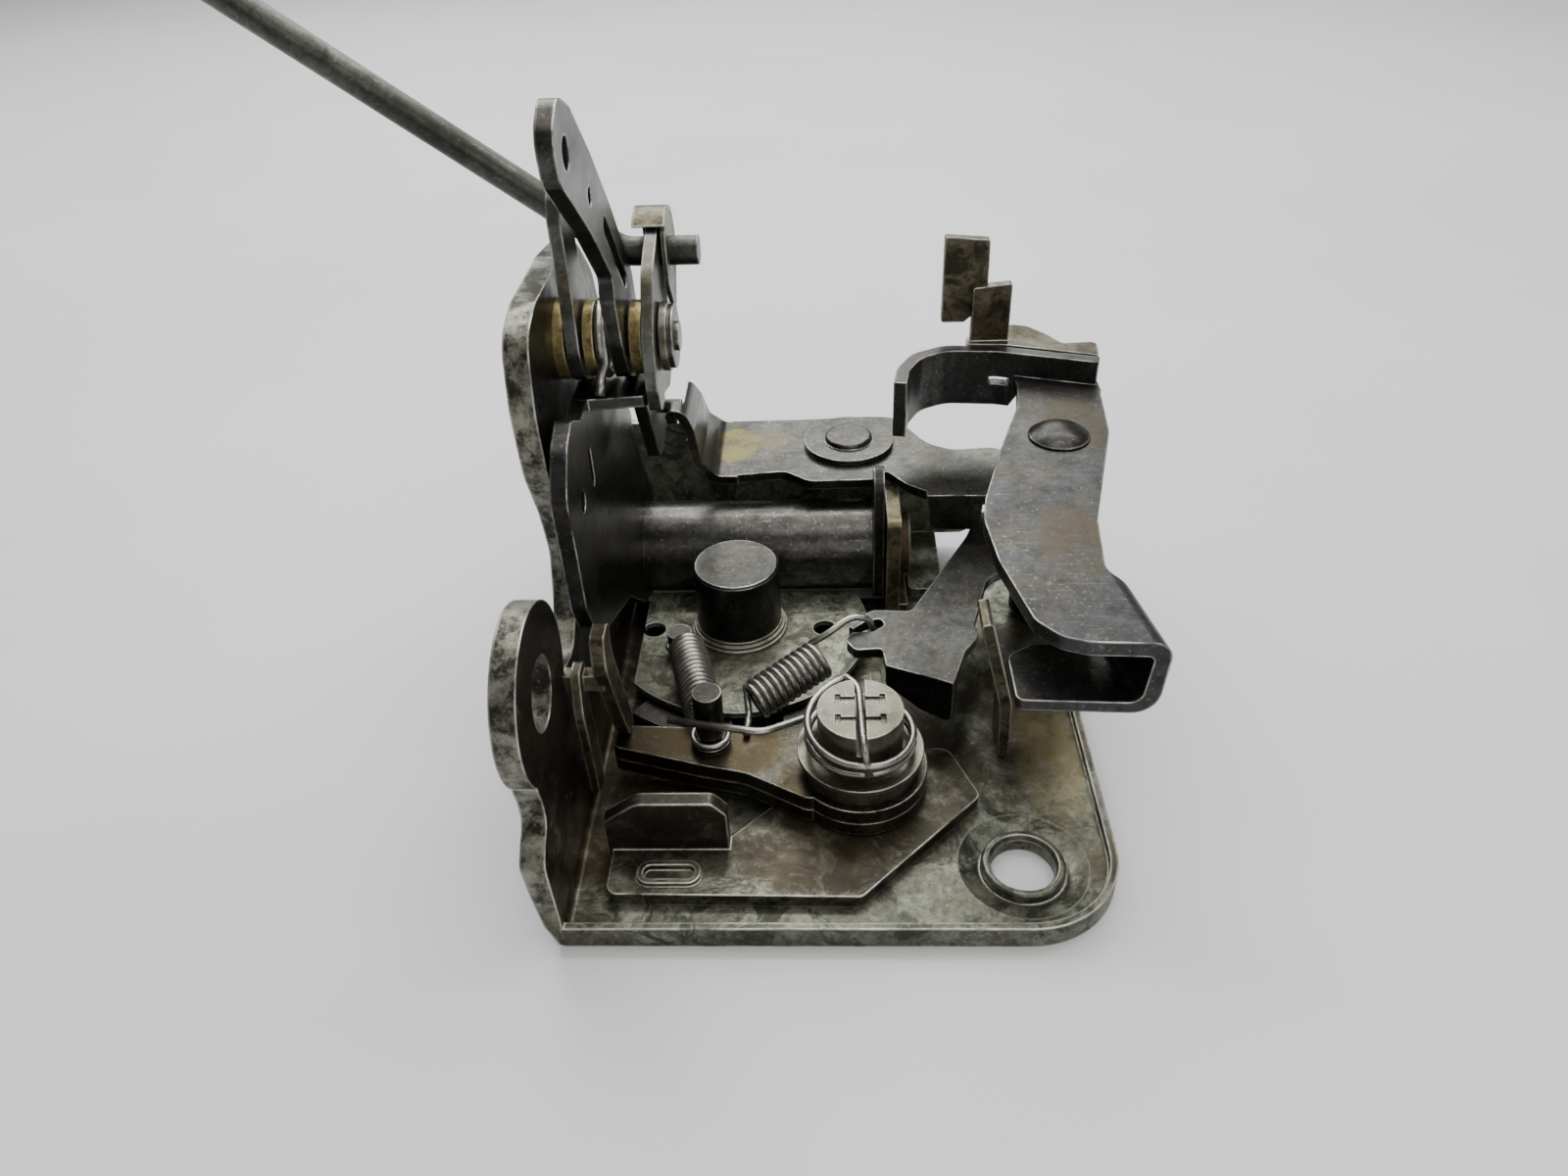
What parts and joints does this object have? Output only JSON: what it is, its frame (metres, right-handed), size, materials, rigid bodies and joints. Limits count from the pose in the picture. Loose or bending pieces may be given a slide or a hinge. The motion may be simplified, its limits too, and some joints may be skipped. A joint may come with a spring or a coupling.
{
  "type": "vehicle door lock mechanism",
  "caption": "Pressed-steel door lock mechanism: face plate with side flange, rotary claw and pawl, release and handle levers, locking crank and pull rod.",
  "frame": {"origin": "centre of the fixing hole, on the seating face of the face plate", "axes": "+Z out of the face plate into the lock, along the fixing hole; +X along the face plate's front edge away from the side flange; +Y towards the rear of the lock"},
  "size_m": [0.1642, 0.0923, 0.1355],
  "materials": {
    "zinc_plate": "greenish zinc plating, stained and oily, semi-gloss",
    "zinc_plate_stained": "zinc plating with brown grease stains, semi-gloss",
    "speckled_zinc": "dull zinc plating with brown speckles",
    "oiled_steel": "dark oiled pressed steel, worn bright on the edges",
    "dark_steel": "black oily steel",
    "worn_nickel": "worn bare steel, satin",
    "spring_wire": "drawn spring wire, oily",
    "brown_steel": "brownish zinc, dull",
    "yellow_zinc": "yellow chromated zinc, worn",
    "rusty_steel": "rust brown, dull",
    "yellow_brass": "yellow plated washer, satin",
    "greasy_steel": "pressed steel under brown grease",
    "blued_steel": "blue-grey steel with brown tints and fine scratches",
    "tube_steel": "dark shiny steel tube",
    "arm_steel": "dark grey steel with a yellow paint mark",
    "grey_steel": "grey plated steel, satin",
    "rod_steel": "grey-green plated rod, satin"
  },
  "bodies": {
    "case": {"case_plate": "zinc_plate", "reinforcement_plate": "zinc_plate_stained", "deck_plate": "speckled_zinc", "claw_pivot_post": "oiled_steel", "spring_post": "dark_steel", "pawl_stud": "worn_nickel", "pawl_stud_washer": "worn_nickel", "pawl_torsion_spring": "spring_wire", "pawl_return_spring": "spring_wire", "release_lever_spring": "spring_wire", "lever_post": "oiled_steel", "lever_post_lower_spacer": "dark_steel", "lever_post_upper_spacer": "dark_steel", "release_guide_bracket": "brown_steel", "pawl_guide_fork": "brown_steel", "transfer_arm_rivet": "arm_steel", "rear_wall_bracket": "speckled_zinc", "tube_bearing_ear": "yellow_zinc", "tube_shaft": "rusty_steel", "stack_shaft": "worn_nickel", "stack_inner_collar": "yellow_brass", "stack_yellow_washer": "yellow_brass", "lock_detent_spring": "spring_wire", "stack_brass_washer": "yellow_brass", "stack_end_clip": "dark_steel", "stack_end_washer": "worn_nickel", "claw_pivot_collar": "speckled_zinc"},
    "claw": {"claw": "dark_steel"},
    "pawl": {"pawl_lever": "greasy_steel", "pawl_backing_lever": "greasy_steel", "pawl_hub_bush": "worn_nickel", "pawl_pin": "dark_steel"},
    "release_lever": {"release_lever": "oiled_steel"},
    "outer_handle_lever": {"outer_handle_lever": "blued_steel", "trip_bracket": "brown_steel", "trip_paddle": "brown_steel"},
    "transfer_arm": {"transfer_arm": "arm_steel"},
    "locking_crank": {"locking_crank": "oiled_steel", "locking_tube": "tube_steel", "locking_tube_cam": "dark_steel"},
    "key_lever": {"key_lever": "grey_steel"},
    "inside_handle_lever": {"inside_handle_lever": "oiled_steel"},
    "lock_lever": {"lock_lever": "grey_steel", "rod_clip": "brown_steel"},
    "pull_rod": {"pull_rod": "rod_steel"}
  },
  "joints": [
    {"name": "claw_hinge", "type": "hinge", "parent": "case", "child": "claw", "pos_m": [-0.0379, 0.0446, 0.003], "axis": [0, 0, 1], "range_deg": [0, 50]},
    {"name": "outer_handle_hinge", "type": "hinge", "parent": "case", "child": "outer_handle_lever", "pos_m": [0.0095, 0.0513, 0.033], "axis": [0, 0, 1], "range_deg": [-6, 0], "stiffness_Nm_per_rad": 0.05, "springref_deg": 1.15, "deforming": ["pawl_torsion_spring", "release_lever_spring", "pawl_return_spring"]},
    {"name": "release_lever_hinge", "type": "hinge", "parent": "case", "child": "release_lever", "pos_m": [0.0095, 0.0513, 0.0142], "axis": [0, 0, 1], "range_deg": [-3.2, 0]},
    {"name": "pawl_hinge", "type": "hinge", "parent": "case", "child": "pawl", "pos_m": [-0.0201, 0.0116, 0.0064], "axis": [0, 0, 1], "range_deg": [0, 10.2]},
    {"name": "inside_handle_hinge", "type": "hinge", "parent": "case", "child": "inside_handle_lever", "pos_m": [-0.0488, 0.0374, 0.057], "axis": [1, 0, 0], "range_deg": [-8, 0], "stiffness_Nm_per_rad": 0.05, "springref_deg": 1.15},
    {"name": "transfer_arm_hinge", "type": "hinge", "parent": "case", "child": "transfer_arm", "pos_m": [-0.0204, 0.0714, 0.0212], "axis": [0, 0, 1], "range_deg": [0, 6.6]},
    {"name": "lock_lever_hinge", "type": "hinge", "parent": "case", "child": "lock_lever", "pos_m": [-0.0445, 0.0374, 0.057], "axis": [1, 0, 0], "range_deg": [-14, 0], "deforming": ["lock_detent_spring"]},
    {"name": "locking_crank_hinge", "type": "hinge", "parent": "case", "child": "locking_crank", "pos_m": [-0.0373, 0.0589, 0.0105], "axis": [1, 0, 0], "range_deg": [0, 2]},
    {"name": "pull_rod_swivel", "type": "hinge", "parent": "lock_lever", "child": "pull_rod", "pos_m": [-0.0445, 0.0464, 0.0645], "axis": [1, 0, 0], "range_deg": [0, 14.2]},
    {"name": "key_lever_hinge", "type": "hinge", "parent": "case", "child": "key_lever", "pos_m": [-0.0543, 0.0374, 0.057], "axis": [1, 0, 0], "range_deg": [0, 12]}
  ],
  "couplings": [
    {"joint": "release_lever_hinge", "follows": "outer_handle_hinge", "ratio": 0.5},
    {"joint": "pawl_hinge", "follows": "outer_handle_hinge", "ratio": -1.667},
    {"joint": "transfer_arm_hinge", "follows": "inside_handle_hinge", "ratio": -0.8},
    {"joint": "locking_crank_hinge", "follows": "lock_lever_hinge", "ratio": -0.12},
    {"joint": "pull_rod_swivel", "follows": "lock_lever_hinge", "ratio": -1}
  ]
}
